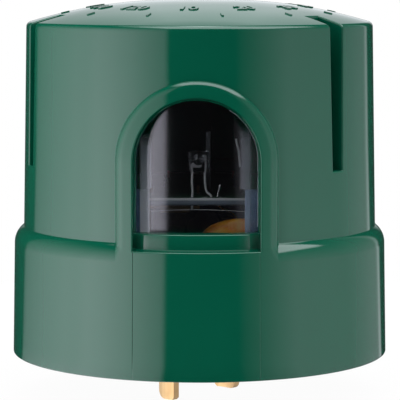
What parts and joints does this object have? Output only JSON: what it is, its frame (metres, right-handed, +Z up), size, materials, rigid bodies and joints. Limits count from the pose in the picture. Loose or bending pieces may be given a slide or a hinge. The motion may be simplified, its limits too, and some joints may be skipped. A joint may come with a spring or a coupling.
{
  "type": "photocell switch",
  "caption": "Twist-lock photocell switch with a domed moulded housing, a window in its side, the circuit behind it and a plug base with hooked blades.",
  "frame": {"origin": "centre of the underside of the plug base's hub, on the axis, where it seats on the receptacle", "axes": "+Z up along the axis towards the dome; the window looks along -Y; +X to the window's right as it is looked at"},
  "size_m": [0.083, 0.083, 0.0877],
  "materials": {
    "housing": "glossy green moulded thermoplastic",
    "lens": "clear moulded plastic",
    "base": "black moulded plastic",
    "gasket": "closed-cell foam",
    "blades": "stamped brass",
    "rivets": "plain brass",
    "board": "laminate with green resist",
    "screws": "zinc plated",
    "sensor": "dark clear resin",
    "tinned": "tinned",
    "varistor": "dipped epoxy",
    "relay": "moulded case",
    "film_capacitor": "moulded case",
    "smoothing_capacitor": "shrunk sleeve",
    "resistors": "painted ceramic",
    "semiconductors": "moulded resin",
    "line_wire": "insulated wire",
    "load_wire": "insulated wire",
    "neutral_wire": "insulated wire"
  },
  "bodies": {
    "root": {"housing": "housing", "window_lens": "lens", "plug_base": "base", "receptacle_gasket": "gasket", "line_blade": "blades", "load_blade": "blades", "neutral_blade": "blades", "line_rivet": "rivets", "load_rivet": "rivets", "neutral_rivet": "rivets", "circuit_board": "board", "board_screw_left": "screws", "board_screw_rear": "screws", "board_screw_right": "screws", "light_sensor": "sensor", "sensor_post": "tinned", "surge_varistor": "varistor", "relay": "relay", "film_capacitor": "film_capacitor", "smoothing_capacitor": "smoothing_capacitor", "dropping_resistor": "resistors", "bias_resistor": "resistors", "rectifier_diode_1": "semiconductors", "rectifier_diode_2": "semiconductors", "drive_transistor": "semiconductors", "line_wire": "line_wire", "load_wire": "load_wire", "neutral_wire": "neutral_wire"}
  },
  "joints": []
}
